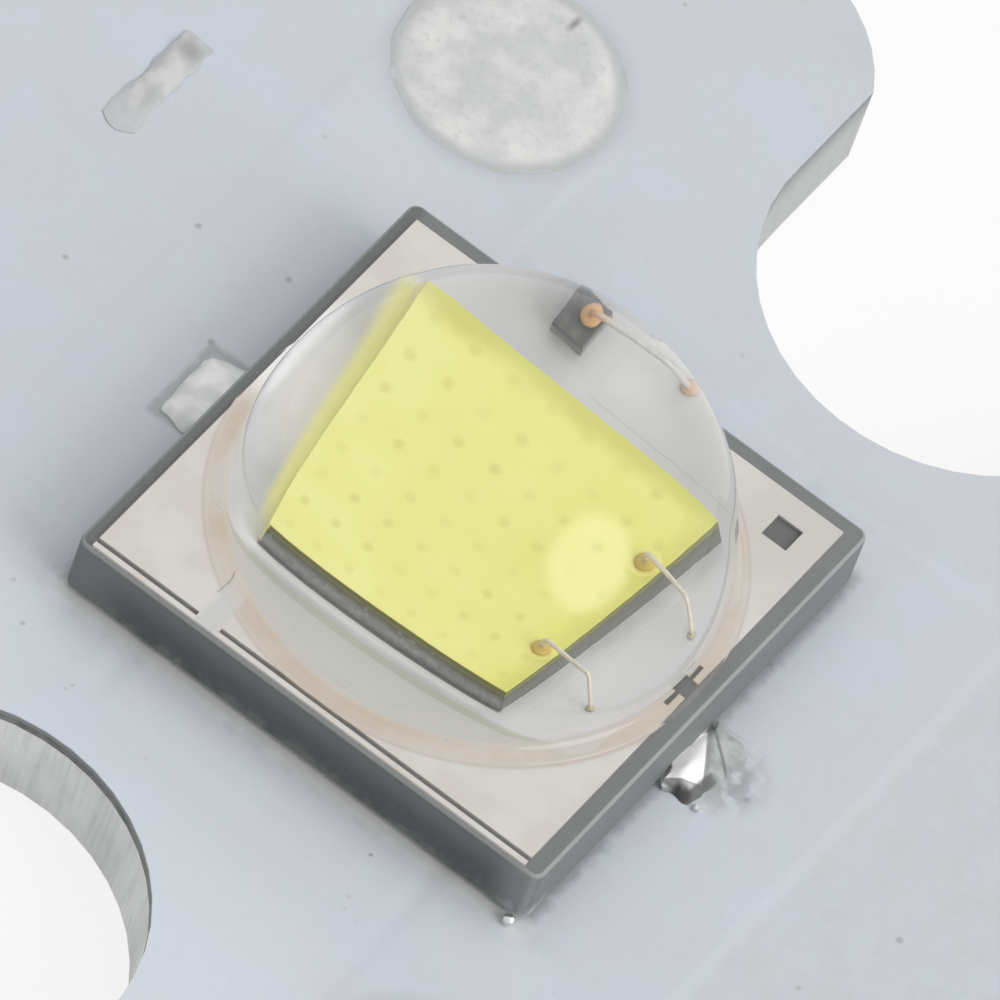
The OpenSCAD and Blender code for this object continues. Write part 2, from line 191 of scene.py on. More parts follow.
def buildFootShade():
    # how near a point lies to a centred rectangle, with a ragged border
    group, given, out = newGroup("footShade", {"HalfX": 2.5, "HalfY": 2.5, "Reach": 0.2, "Ragged": 0.1,
                                               "PerMm": 8})
    outside = []
    for value, half in zip(xyz(group), ("HalfX", "HalfY")):
        past = mathNode(group, "SUBTRACT", mathNode(group, "ABSOLUTE", value), given[half])
        outside.append(mathNode(group, "MAXIMUM", past, 0))
    cloud = put(group, "ShaderNodeTexNoise", {"Vector": inMillimetres(group), "Scale": given["PerMm"],
                                              "Detail": 4}).outputs["Fac"]
    ragged = mathNode(group, "MULTIPLY", mathNode(group, "SUBTRACT", cloud, 0.5), given["Ragged"])
    moved = mathNode(group, "ADD", reach(group, *outside), ragged)
    group.links.new(ramp(group, moved, given["Reach"], 0.0), out)
    return group


def buildRing():
    group, given, out = newGroup("ring", {"Inner": 2.2, "Outer": 2.4, "Soft": 0.05})
    place = xyz(group)
    away = reach(group, place[0], place[1])
    rising = ramp(group, away, mathNode(group, "SUBTRACT", given["Inner"], given["Soft"]), given["Inner"])
    falling = ramp(group, away, mathNode(group, "ADD", given["Outer"], given["Soft"]), given["Outer"])
    group.links.new(mathNode(group, "MULTIPLY", rising, falling), out)
    return group


def buildHalfPlane():
    group, given, out = newGroup("halfPlane", {"PointX": 0, "PointY": 0, "WayX": 1, "WayY": 0, "Soft": 0.02})
    place = xyz(group)
    parts = [mathNode(group, "MULTIPLY", mathNode(group, "SUBTRACT", place[axis], given[axis]),
                      given[2 + axis]) for axis in (0, 1)]
    group.links.new(ramp(group, mathNode(group, "ADD", *parts), 0.0, given["Soft"]), out)
    return group


def buildSpot():
    group, given, out = newGroup("spot", {"MidX": 0, "MidY": 0, "Inner": 0.05, "Outer": 0.1})
    place = xyz(group)
    away = reach(group, *[mathNode(group, "SUBTRACT", place[axis], given[axis]) for axis in (0, 1)])
    group.links.new(ramp(group, away, given["Outer"], given["Inner"]), out)
    return group


def buildGrainNormal():
    group, given, out = newGroup("grainNormal", {"PerMm": 20, "Strength": 0.2, "DepthMm": 0.01, "Stretch": 1},
                                 "Normal", "NodeSocketVector")
    stretch = put(group, "ShaderNodeCombineXYZ", {0: 1, 1: 1, 2: given["Stretch"]}).outputs[0]
    place = vectorNode(group, "MULTIPLY", {0: inMillimetres(group), 1: stretch})[0]
    cloud = put(group, "ShaderNodeTexNoise", {"Vector": place, "Scale": given["PerMm"], "Detail": 4})
    depth = mathNode(group, "MULTIPLY", given["DepthMm"], mm)
    bump = put(group, "ShaderNodeBump", {"Height": cloud.outputs["Fac"], "Strength": given["Strength"],
                                         "Distance": depth})
    group.links.new(bump.outputs[0], out)
    return group


mottle, specks, dotGrid = buildMottle(), buildSpecks(), buildDotGrid()
footShade, ring, grainNormal = buildFootShade(), buildRing(), buildGrainNormal()
halfPlane, spot = buildHalfPlane(), buildSpot()
print("shader groups built")


def newMaterial(name, settings):
    material = bpy.data.materials.new(name)
    material.use_nodes = True
    tree = material.node_tree
    tree.nodes.clear()
    out = tree.nodes.new("ShaderNodeOutputMaterial")
    bsdf = put(tree, "ShaderNodeBsdfPrincipled", settings)
    tree.links.new(bsdf.outputs[0], out.inputs[0])
    return material, tree, bsdf, out


class Coat:
    # a material in the making: masks over x, y and z in millimetres, and named tones laid one by one
    def __init__(self, name, settings, tones):
        self.material, self.tree, self.bsdf = newMaterial(name, settings)[:3]
        self.tones = {key: fromPhoto(tone) for key, tone in tones.items()}
        self.x, self.y, self.z = xyz(self.tree)
        self.colour = None

    def ramp(self, *given):
        return ramp(self.tree, *given)

    def mask(self, group, *values, **named):
        return placeGroup(self.tree, group, *values, **named)

    def cloud(self, scale, detail, low, high):
        scales = scale if isinstance(scale, tuple) else (scale,) * 3
        return self.mask(mottle, *scales, detail, low, high)

    def times(self, product, *factors):
        for factor in factors:
            product = mathNode(self.tree, "MULTIPLY", product, factor)
        return product

    def plus(self, first, second):
        return mathNode(self.tree, "ADD", first, second)

    def most(self, first, second):
        return mathNode(self.tree, "MAXIMUM", first, second)

    def size(self, value):
        return mathNode(self.tree, "ABSOLUTE", value)

    def slopes(self, *edges):
        # each edge has a value, where its mask starts and where it is full
        return self.times(*[self.ramp(*edge) for edge in edges])

    def within(self, *edges):
        # each edge has a point, the way into its half plane, and how soft it is
        return self.times(*[self.mask(halfPlane, *edge) for edge in edges])

    def base(self, first, second, mask):
        self.colour = mixColour(self.tree, mask, self.tones[first], self.tones[second])

    def lay(self, tone, *masks):
        # a tone's name or a colour, through masks and plain shares that are multiplied
        tone = self.tones[tone] if isinstance(tone, str) else tone
        self.colour = mixColour(self.tree, self.times(*masks), self.colour, tone)

    def finish(self, **grain):
        self.tree.links.new(self.colour, self.bsdf.inputs["Base Color"])
        if grain:
            self.tree.links.new(self.mask(grainNormal, **grain), self.bsdf.inputs["Normal"])
        return self.material


# what neighbouring pieces share: a torn film beside the anode, and where the wire pads are
shared = {"torn": {"scale": 5, "detail": 4, "low": 0.35, "high": 0.55},
          "film": {"midX": 2.84, "midY": 0.0, "inner": 0.15, "outer": 0.55},
          "pads": ((-2.89, 4.7), (2.89, -4.7))}


def whiteMask():
    coat = Coat("whiteMask", {"Roughness": 0.5, "Specular IOR Level": 0.35}, {
        "cool": (209, 215, 225), "warm": (210, 213, 218), "smudge": (176, 180, 186), "pale": (226, 230, 238),
        "clean": (222, 228, 238), "worn": (203, 204, 206), "fine": (186, 190, 196), "speck": (120, 122, 126),
        "wide": (150, 155, 160), "foot": (122, 126, 128), "before": (234, 239, 247), "fluxAndShade": (142, 146, 142),
        "lightAtFoot": (250, 250, 248), "grit": (112, 116, 114), "film": (150, 153, 153), "halo": (150, 153, 155),
        "padRim": (184, 187, 190), "blot": (140, 142, 143), "wall": (140, 142, 143)})
    x, y, z = coat.x, coat.y, coat.z
    alongX, alongY = coat.size(x), coat.size(y)
    coat.base("cool", "warm", coat.cloud((0.9, 0.9, 1), detail=3, low=0.35, high=0.65))
    coat.lay("smudge", coat.cloud((0.35, 0.5, 1), detail=4, low=0.52, high=0.75), 0.14)
    # paler beside the cathode wall and towards the front, warm and worn past the anode copper's edge
    # painted light beside the cathode wall, lifting the body's shadow there
    coat.lay("pale", coat.slopes((x, -4.6, -3.0), (x, -2.3, -3.0), (alongY, 4.2, 1.8)), 0.4)
    coat.lay("clean", coat.slopes((y, -2.0, -5.2), (x, 3.0, 0.6)), 0.8)
    coat.lay("worn", coat.ramp(x, 3.85, 4.1), coat.cloud((3, 3, 1), detail=5, low=0.3, high=0.7), 0.5)
    coat.lay("fine", coat.cloud(9, detail=4, low=0.3, high=0.8), 0.07)
    coat.lay("speck", coat.mask(specks, perMm=2.2, size=0.1, share=0.3), 0.4)
    # painted shade, flux and grit round the ceramic's foot
    coat.lay("wide", coat.mask(footShade, halfX=2.45, halfY=2.45, reach=0.5, ragged=0.3, perMm=2), 0.1)
    # painted shade, partly flux, at the foot of the back and side walls
    coat.lay("foot", coat.mask(footShade, halfX=2.5, halfY=2.5, reach=0.12, ragged=0.16, perMm=7),
             coat.ramp(y, -2.52, -2.42), 0.5)
    # painted light in front of the front wall, lifting its shadow
    before = coat.slopes((y, -2.56, -2.72), (y, -3.7, -2.8), (alongX, 3.4, 2.1))
    coat.lay("before", before, 0.45)
    # dark flux and painted shade at the front wall's foot
    coat.lay("fluxAndShade", coat.mask(footShade, halfX=2.42, halfY=2.5, reach=0.2, ragged=0.3, perMm=5),
             coat.ramp(y, -2.4, -2.5), 0.5)
    # painted light right at the front wall's foot, lifting the shadow there
    coat.lay("lightAtFoot", coat.slopes((y, -2.72, -2.58), (y, -2.35, -2.45), (alongX, 2.7, 2.4)), 0.55)
    coat.lay("grit", coat.mask(specks, perMm=5, size=0.16, share=0.3), before, 0.5)
    # dull film beside the anode solder, and a halo round the cathode tab
    coat.lay("film", coat.mask(spot, **shared["film"]), coat.cloud(**shared["torn"]), 0.75)
    coat.lay("halo", coat.mask(footShade, halfX=3.03, halfY=0.45, reach=0.09, ragged=0.1, perMm=9),
             coat.ramp(x, -2.3, -2.5), 0.55)
    for midX, midY in shared["pads"]:
        coat.lay("padRim", coat.mask(spot, midX=midX, midY=midY, inner=1.02, outer=1.25), 0.5)
    coat.lay("blot", coat.mask(spot, midX=-5.2, midY=2.86, inner=0.02, outer=0.16), 0.35)
    coat.lay("wall", coat.ramp(z, 0.981, 0.972))
    return coat.finish(perMm=14, strength=0.3, depthMm=0.01)


def shearedAluminium():
    coat = Coat("shearedAluminium", {"Metallic": 0.6, "Roughness": 0.55}, {
        "dull": (202, 204, 204), "bright": (224, 226, 225), "behind": (182, 184, 184),
        "band": (150, 153, 154), "streak": (150, 153, 153)})
    coat.base("dull", "bright", coat.cloud((1.6, 1.6, 0.8), detail=4, low=0.3, high=0.7))
    # the back notch's wall is darker, with a band of painted shade under its top edge
    behind = coat.ramp(coat.y, -0.5, 0.5)
    coat.lay("behind", behind, 0.9)
    coat.lay("band", coat.ramp(coat.z, 0.55, 0.86), behind, 0.7)
    coat.lay("streak", coat.cloud((22, 22, 1.5), detail=2, low=0.42, high=0.7), 0.2)
    return coat.finish(perMm=8, strength=0.35, depthMm=0.02, stretch=0.2)


def resinEdge():
    coat = Coat("resinEdge", {"Roughness": 0.6}, {
        "dark": (96, 98, 98), "light": (128, 130, 129), "behind": (148, 150, 151)})
    coat.base("dark", "light", coat.cloud((5, 5, 8), detail=3, low=0.3, high=0.7))
    coat.lay("behind", coat.ramp(coat.y, -0.5, 0.5), 0.7)
    return coat.finish(perMm=30, strength=0.3, depthMm=0.01)


def bareMetal(name, roughness, dark, light, scale):
    coat = Coat(name, {"Metallic": 1.0, "Roughness": roughness}, {"dark": dark, "light": light})
    coat.base("dark", "light", coat.cloud(scale, detail=3, low=0.3, high=0.7))
    return coat.finish()


def tin(name, dark, light, roughness, metallic, depth):
    coat = Coat(name, {"Metallic": metallic, "Roughness": roughness}, {
        "dark": dark, "light": light, "pit": (140, 142, 143)})
    coat.base("dark", "light", coat.cloud(3.2, detail=4, low=0.38, high=0.64))
    coat.lay("pit", coat.cloud(14, detail=3, low=0.6, high=0.75), 0.2)
    return coat.finish(perMm=7, strength=0.5, depthMm=depth)


def cathodeTin():
    coat = Coat("cathodeTin", {"Metallic": 0.2, "Roughness": 0.5}, {
        "dark": (220, 222, 221), "light": (242, 243, 241), "end": (236, 237, 236), "low": (172, 175, 177)})
    coat.base("dark", "light", coat.cloud(5, detail=4, low=0.35, high=0.65))
    coat.lay("end", coat.mask(spot, midX=-2.9, midY=-0.36, inner=0.02, outer=0.1))
    coat.lay("low", coat.ramp(coat.z, 1.02, 1.0))
    return coat.finish(perMm=7, strength=0.4, depthMm=0.02)


def anodeTin():
    # painted highlight on a facet by the wall, painted shade in a crease and pit round it, a thin grey film
    # outside
    coat = Coat("anodeTin", {"Metallic": 0.25, "Roughness": 0.3}, {
        "dark": (148, 150, 150), "light": (178, 180, 179), "shadeAround": (104, 106, 106),
        "facetHighlight": (240, 240, 240), "creaseShade": (110, 112, 112), "arm": (84, 85, 85), "lowerArm": (96, 97, 97),
        "pit": (50, 51, 51), "bead": (248, 248, 248), "rim": (140, 143, 143), "mask": (193, 197, 202),
        "film": (150, 153, 153)})
    coat.base("dark", "light", coat.cloud(6, detail=4, low=0.35, high=0.65))
    # painted shade on the tin round the facet
    coat.lay("shadeAround", coat.within((2.535, -0.51, -0.604, 0.797, 0.07), (2.86, -0.15, -0.856, -0.518, 0.07)),
             coat.ramp(coat.y, 0.1, -0.4, 0.35, 0.85))
    coat.lay("facetHighlight", coat.within((2.512, -0.478, -0.604, 0.797, 0.02), (2.79, -0.19, -0.856, -0.518, 0.02)))
    coat.lay("creaseShade", coat.within((2.58, 0.25, 0.653, 0.757, 0.02), (2.61, 0.29, -0.653, -0.757, 0.02)),
             0.85)
    # painted dark reflections as two dark arms
    coat.lay("arm", coat.within((2.75, -0.258, 0.968, -0.1, 0.035), (2.89, -0.282, -0.968, 0.1, 0.035),
                                (2.82, -0.02, -0.1, -0.968, 0.1), (2.7, -0.54, 0.25, 0.968, 0.05)), 0.9)
    coat.lay("lowerArm", coat.within((2.59, -0.503, -0.13, 0.99, 0.035), (2.58, -0.424, 0.13, -0.99, 0.035),
                                     (2.48, -0.47, 0.99, 0.13, 0.05), (2.78, -0.44, -0.99, -0.13, 0.05)), 0.7)
    coat.lay("pit", coat.mask(spot, midX=2.727, midY=-0.44, inner=0.05, outer=0.12))
    coat.lay("bead", coat.mask(spot, midX=2.9, midY=-0.455, inner=0.03, outer=0.05))
    torn = coat.cloud(**shared["torn"])
    rim = coat.most(coat.ramp(coat.x, 2.84, 2.96), coat.ramp(coat.y, 0.34, 0.42))
    coat.lay("rim", rim, coat.ramp(torn, 0, 1, 0.5, 1), 0.8)
    flat = coat.slopes((coat.z, 0.9992, 0.999), (coat.x, 2.52, 2.6))
    coat.lay("mask", flat)
    coat.lay("film", coat.mask(spot, **shared["film"]), torn, flat, 0.85)
    return coat.finish(perMm=5, strength=0.35, depthMm=0.014)


def markTin():
    coat = Coat("markTin", {"Metallic": 0.05, "Roughness": 0.6}, {
        "dark": (186, 188, 188), "light": (213, 213, 212), "low": (188, 191, 194), "faint": (200, 203, 207),
        "blot": (150, 151, 150)})
    coat.base("dark", "light", coat.cloud((5, 3, 5), detail=4, low=0.35, high=0.68))
    coat.lay("low", coat.ramp(coat.z, 1.009, 1.001), 0.85)
    coat.lay("faint", coat.ramp(coat.size(coat.y), 2.3, 1.75), 0.7)
    coat.lay("blot", coat.mask(spot, midX=-5.12, midY=2.86, inner=0.03, outer=0.17), 0.75)
    return coat.finish(perMm=8, strength=0.4, depthMm=0.015)


def padTin():
    # both pads lie at the same distances from the middle, on opposite sides
    coat = Coat("padTin", {"Metallic": 0.15, "Roughness": 0.55}, {
        "dark": (202, 203, 204), "light": (221, 221, 219), "pit": (172, 173, 173), "rim": (180, 182, 184),
        "scratch": (120, 121, 121)})
    midX, midY = shared["pads"][1][0], shared["pads"][0][1]
    scratch = {"x": -2.79, "y": 5.57, "long": 0.17, "wide": 0.06}
    patches = coat.cloud(2.4, detail=5, low=0.36, high=0.64)
    coat.base("dark", "light", patches)
    coat.lay("pit", coat.cloud(15, detail=3, low=0.52, high=0.75), 0.3)
    away = reach(coat.tree, coat.plus(coat.size(coat.x), -midX), coat.plus(coat.size(coat.y), -midY))
    coat.lay("rim", coat.ramp(coat.plus(away, coat.times(patches, 0.05)), 0.94, 1.06), 0.8)
    fromLine = coat.size(coat.plus(coat.x, -scratch["x"]))
    coat.lay("scratch", coat.mask(spot, midX=scratch["x"], midY=scratch["y"], inner=0, outer=scratch["long"]),
             coat.ramp(fromLine, scratch["wide"], 0.0), 0.8)
    return coat.finish(perMm=6, strength=0.5, depthMm=0.02)


def greyCeramic():
    coat = Coat("greyCeramic", {"Roughness": 0.55, "Specular IOR Level": 0.4}, {
        "top": (124, 126, 126), "wall": (122, 127, 126), "frontHigh": (116, 118, 117),
        "frontLow": (86, 90, 90), "frontLeft": (126, 129, 128), "frontRight": (150, 152, 151),
        "anodeWall": (122, 125, 124), "cloud": (96, 100, 101), "fine": (112, 115, 116),
        "window": (92, 94, 92), "farBorder": (98, 100, 100), "foot": (132, 134, 132),
        "corner": (188, 191, 193), "edge": (170, 172, 172)})
    x, y, z = coat.x, coat.y, coat.z
    # painted shade on the front wall, which faces away from the light: darkest low down, lighter towards both
    # ends
    coat.base("frontLow", "frontHigh", coat.ramp(z, 1.3, 1.62))
    coat.lay("frontLeft", coat.ramp(x, -1.7, -2.4))
    coat.lay("frontRight", coat.ramp(x, 2.0, 2.42))
    front = coat.colour
    coat.base("wall", "anodeWall", coat.ramp(x, 2.44, 2.49))
    coat.lay(front, coat.ramp(y, -2.44, -2.49))
    onTop = coat.ramp(z, 1.684, 1.689)
    coat.lay("top", onTop)
    coat.lay("cloud", coat.cloud((1.6, 1.6, 3), detail=4, low=0.35, high=0.65), 0.18)
    coat.lay("fine", coat.cloud(12, detail=4, low=0.3, high=0.7), 0.2)
    windows = coat.most(coat.mask(spot, midX=2.22, midY=0.0, inner=0.28, outer=0.32),
                        coat.mask(spot, midX=1.93, midY=1.93, inner=0.2, outer=0.22))
    coat.lay("window", windows, onTop, coat.ramp(x, 2.335, 2.325), 0.75)
    coat.lay("farBorder", onTop, coat.ramp(x, -2.3, -2.4), 0.6)
    # stains climb unevenly from the foot, most of all at the front corner
    height = coat.plus(z, coat.times(coat.cloud((7, 7, 3), detail=4, low=0.3, high=0.7), 0.12))
    coat.lay("foot", coat.slopes((height, 1.25, 1.07), (y, -2.4, -2.45)), 0.7)
    towardsCorner = coat.plus(x, coat.times(y, -1))
    coat.lay("corner", coat.slopes((towardsCorner, 4.6, 4.92), (height, 1.3, 1.12)), 0.75)
    # painted highlight along the rounded top edge
    coat.lay("edge", coat.slopes((z, 1.65, 1.665), (z, 1.6895, 1.688)), 0.65)
    return coat.finish(perMm=24, strength=0.35, depthMm=0.01)


def beigeLand():
    coat = Coat("beigeLand", {"Roughness": 0.5, "Specular IOR Level": 0.4}, {
        "plate": (222, 219, 214), "worn": (216, 210, 203), "corner": (206, 203, 199), "ring": (202, 186, 169),
        "foot": (186, 173, 160), "tieBar": (207, 208, 207), "inner": (200, 200, 192),
        "gleam": (247, 247, 246), "dust": (150, 146, 140)})
    x, y = coat.x, coat.y
    coat.base("plate", "worn", coat.cloud((2, 2, 1), detail=4, low=0.4, high=0.65))
    coat.lay("corner", coat.slopes((x, 1.2, 2.0), (y, 0.8, 1.8)), 0.6)
    coat.lay("inner", coat.mask(ring, inner=-1, outer=2.1, soft=0.1))
    uneven = coat.ramp(coat.cloud((1.4, 1.4, 1), detail=3, low=0.2, high=0.7), 0, 1, 0.5, 0.95)
    coat.lay("ring", coat.mask(ring, inner=2.22, outer=2.32, soft=0.14), uneven)
    coat.lay("foot", coat.mask(ring, inner=2.4, outer=2.404, soft=0.03), 0.35)
    coat.lay("tieBar", coat.slopes((coat.size(coat.plus(x, 1.15)), 0.13, 0.07), (y, -1.82, -2.15)), 0.85)
    # light that the dome throws past its far edge
    coat.lay("gleam", coat.slopes((x, -2.12, -2.24), (y, -0.45, 0.1), (y, 1.25, 0.85)), 0.85)
    coat.lay("dust", coat.mask(specks, perMm=3, size=0.07, share=0.25), 0.3)
    return coat.finish(perMm=20, strength=0.2, depthMm=0.006)


def silverLand():
    coat = Coat("silverLand", {"Roughness": 0.45, "Metallic": 0.15}, {
        "dull": (204, 204, 203), "bright": (218, 218, 217), "shade": (186, 186, 185), "arm": (196, 195, 190),
        "anode": (216, 215, 214), "olive": (190, 191, 178), "strip": (252, 252, 250), "bond": (132, 132, 128),
        "pool": (236, 232, 226), "streak": (252, 252, 251), "fringe": (255, 253, 168),
        "tan": (208, 200, 190)})
    x, y = coat.x, coat.y
    coat.base("dull", "bright", coat.cloud((1.6, 1.6, 1), detail=3, low=0.35, high=0.65))
    coat.lay("shade", coat.slopes((y, 0.9, 1.3), (x, 0.1, -0.6)), 0.6)
    coat.lay("arm", coat.slopes((y, 1.0, 1.2), (x, 0.0, 0.4)), 0.8)
    coat.lay("anode", coat.slopes((x, 1.1, 1.25), (y, 1.1, 0.8)), 0.8)
    # before the chip: olive painted shade, a strip painted bright against its shadow, and painted shade at
    # its foot
    coat.lay("olive", coat.ramp(y, -1.27, -1.33))
    coat.lay("strip", coat.slopes((y, -1.28, -1.21), (y, -1.16, -1.175), (x, -1.35, -0.95), (x, 1.12, 0.8)))
    coat.lay("bond", coat.slopes((y, -1.17, -1.155), (y, -1.1, -1.12), (x, -1.13, -1.1), (x, 1.07, 1.04)))
    # light gathered by the dome at its far side: a wide pale area and a narrow streak
    coat.lay("pool", coat.mask(spot, midX=-1.24, midY=0.14, inner=0.1, outer=0.5), 0.7)
    coat.lay("streak", coat.within((-1.6, 0.415, 0.97, -0.244, 0.09), (-1.39, 0.371, -0.97, 0.244, 0.09)),
             coat.mask(spot, midX=-1.492, midY=0.4, inner=0.28, outer=0.66))
    # a thin yellow band beside the chip's far side, painted bright against the shadow there
    coat.lay("fringe", coat.slopes((x, -1.235, -1.15), (x, -1.0, -1.06), (y, -1.1, -0.6), (y, 1.1, 0.98)),
             0.85)
    coat.lay("tan", coat.mask(ring, inner=2.14, outer=2.4, soft=0.12), 0.8)
    return coat.finish(perMm=16, strength=0.2, depthMm=0.006)


def phosphor():
    coat = Coat("phosphor", {"Roughness": 0.7, "Specular IOR Level": 0.25}, {
        "pale": (247, 246, 162), "deep": (237, 234, 128), "band": (208, 206, 108), "dot": (208, 205, 112),
        "grain": (222, 219, 125), "side": (132, 132, 80), "farSideLight": (255, 253, 165)})
    cloud = coat.cloud((1.8, 1.8, 1), detail=3, low=0.3, high=0.7)
    lean = coat.ramp(coat.plus(coat.x, coat.times(coat.y, 0.5)), -1.2, 1.6)
    coat.base("pale", "deep", coat.plus(coat.times(lean, 0.7), coat.times(cloud, 0.35)))
    back = coat.ramp(coat.plus(coat.y, coat.times(cloud, 0.06)), 0.86, 1.03)
    right = coat.times(coat.ramp(coat.x, 0.86, 1.03), 0.6)
    coat.lay("band", coat.most(back, right), 0.75)
    coat.lay("dot", coat.mask(dotGrid, pitch=0.266, radius=0.06, midX=-0.03, midY=-0.05), 0.42)
    coat.lay("grain", coat.cloud(40, detail=2, low=0.3, high=0.8), 0.1)
    top = coat.colour
    # the far flank is painted bright against the shade it stands in
    coat.base("side", "farSideLight", coat.ramp(coat.x, -1.08, -1.1))
    coat.lay(top, coat.ramp(coat.z, 1.918, 1.928))
    return coat.finish(perMm=30, strength=0.15, depthMm=0.004)


def sawnChip():
    coat = Coat("sawnChip", {"Roughness": 0.45}, {
        "low": (176, 177, 175), "high": (122, 123, 100), "fine": (96, 97, 98), "fleck": (190, 191, 190),
        "anodeSide": (98, 98, 90), "farSideLight": (255, 252, 172), "top": (214, 206, 118)})
    coat.base("low", "high", coat.ramp(coat.z, 1.775, 1.865))
    coat.lay("fine", coat.cloud(16, detail=4, low=0.35, high=0.7), 0.3)
    coat.lay("fleck", coat.mask(specks, perMm=16, size=0.4, share=0.35), 0.4)
    coat.lay("anodeSide", coat.ramp(coat.x, 1.03, 1.044), 0.8)
    # the far side is painted bright against the shade it stands in
    coat.lay("farSideLight", coat.ramp(coat.x, -1.09, -1.103))
    coat.lay("top", coat.ramp(coat.z, 1.876, 1.879))
    return coat.finish()


def goldWire(name, start, neckTop, tones):
    # ball, level run and flattened end each have their own tone
    coat = Coat(name, {"Metallic": 0.3, "Roughness": 0.5}, tones)
    coat.base("run", "runPale", coat.cloud(18, detail=2, low=0.3, high=0.7))
    coat.lay("ball", coat.slopes((coat.x, start + 0.14, start + 0.06), (coat.z, neckTop + 0.03, neckTop)))
    coat.lay("stitch", coat.ramp(coat.z, 1.79, 1.75))
    return coat.finish(perMm=40, strength=0.3, depthMm=0.004)


def goldPad():
    # golden under the ball, and like the phosphor at its rim
    coat = Coat("goldPad", {"Metallic": 0.05, "Roughness": 0.6}, {
        "middle": (216, 198, 106), "rim": (238, 234, 140)})
    row = {"x": 0.925, "midY": -0.05, "half": 0.52}
    fromRow = coat.plus(coat.size(coat.plus(coat.y, -row["midY"])), -row["half"])
    coat.base("middle", "rim", coat.ramp(reach(coat.tree, coat.plus(coat.x, -row["x"]), fromRow), 0.055, 0.1))
    return coat.finish()


def blackDiode():
    coat = Coat("blackDiode", {"Roughness": 0.4}, {
        "dark": (70, 70, 68), "light": (98, 99, 96), "low": (146, 147, 145)})
    coat.base("dark", "light", coat.cloud(14, detail=3, low=0.35, high=0.7))
    coat.lay("low", coat.ramp(coat.z, 1.83, 1.74))
    return coat.finish()


def clearSilicone():
    # shadow and diffuse rays pass straight through, so that what lies inside is lit
    material, tree, bsdf, out = newMaterial("clearSilicone", {
        "Base Color": (1, 1, 1, 1), "Roughness": 0.02, "IOR": 1.41, "Transmission Weight": 1.0})
    tree.links.new(placeGroup(tree, grainNormal, perMm=1.2, strength=0.06, depthMm=0.05),
                   bsdf.inputs["Normal"])
    clear = put(tree, "ShaderNodeBsdfTransparent").outputs[0]
    path = put(tree, "ShaderNodeLightPath").outputs
    through = mathNode(tree, "MAXIMUM", path["Is Shadow Ray"], path["Is Diffuse Ray"])
    both = put(tree, "ShaderNodeMixShader", {0: through, 1: bsdf.outputs[0], 2: clear})
    tree.links.new(both.outputs[0], out.inputs[0])
    return material


bondTones = {"run": (219, 212, 190), "runPale": (227, 222, 205), "ball": (206, 182, 92),
             "stitch": (198, 192, 164)}
diodeTones = {"run": (198, 195, 189), "runPale": (208, 206, 201), "ball": (212, 166, 110),
              "stitch": (204, 170, 140)}
looks = {
    "mask": whiteMask(), "core": shearedAluminium(), "resin": resinEdge(),
    "copper": bareMetal("copperFoil", 0.4, (205, 138, 105), (228, 165, 130), (6, 1.5, 6)),
    "plate": bareMetal("platedSilver", 0.35, (205, 205, 202), (226, 226, 224), 5),
    "tin": tin("dullTin", (186, 188, 187), (216, 217, 215), 0.45, 0.35, 0.03),
    "brightTin": tin("brightTin", (205, 207, 208), (240, 241, 241), 0.16, 0.95, 0.012),
    "fibre": tin("fibre", (184, 177, 168), (196, 189, 181), 0.6, 0, 0.0),
    "cathodeTin": cathodeTin(), "anodeTin": anodeTin(), "markTin": markTin(), "padTin": padTin(),
    "ceramic": greyCeramic(), "beige": beigeLand(), "silver": silverLand(), "phosphor": phosphor(),
    "chip": sawnChip(), "pad": goldPad(), "diode": blackDiode(), "lens": clearSilicone(),
    "gold": goldWire("bondGold", 0.925, 1.955, bondTones),
    "copperGold": goldWire("diodeGold", -0.345, 1.98, diodeTones)}
print("materials built:", len(looks))

wearing = {
    "core_plate": "core", "laminate": "resin", "cathode_trace": "copper", "anode_trace": "copper",
    "heat_spreader": "copper", "solder_mask": "mask", "minus_wire_pad": "tin", "plus_wire_pad": "tin",
    "minus_mark": "markTin", "plus_mark": "markTin", "cathode_solder": "cathodeTin",
    "anode_solder": "anodeTin", "heat_solder": "tin", "solder_ball": "brightTin", "ceramic_body": "ceramic",
    "cathode_contact": "plate", "anode_contact": "plate", "heat_contact": "plate", "cathode_vias": "plate",
    "anode_vias": "plate", "chip_land": "silver", "anode_land": "silver", "frame_land": "beige",
    "chip_attach": "chip", "led_chip": "chip", "phosphor_layer": "phosphor", "bond_pads": "pad",
    "bond_wires": "gold", "protection_diode": "diode", "diode_wire": "copperGold", "lens": "lens"}
for nodeName, look in wearing.items():
    nodes[nodeName].data.materials.clear()
    nodes[nodeName].data.materials.append(looks[look])


dome = {"radius": 2.22, "centreZ": 1.91, "footRadius": 2.40, "footTop": 1.76, "slopeTop": 1.86,
        "bottom": 1.687, "lip": 0.012, "lipRise": 0.002, "curl": 0.03, "steps": 192, "arcSteps": 56}


def lineTo(bm, vert, x, z):
    made = bmesh.ops.extrude_vert_indiv(bm, verts=[vert])["verts"][0]
    made.co = (x, 0, z)
    return made


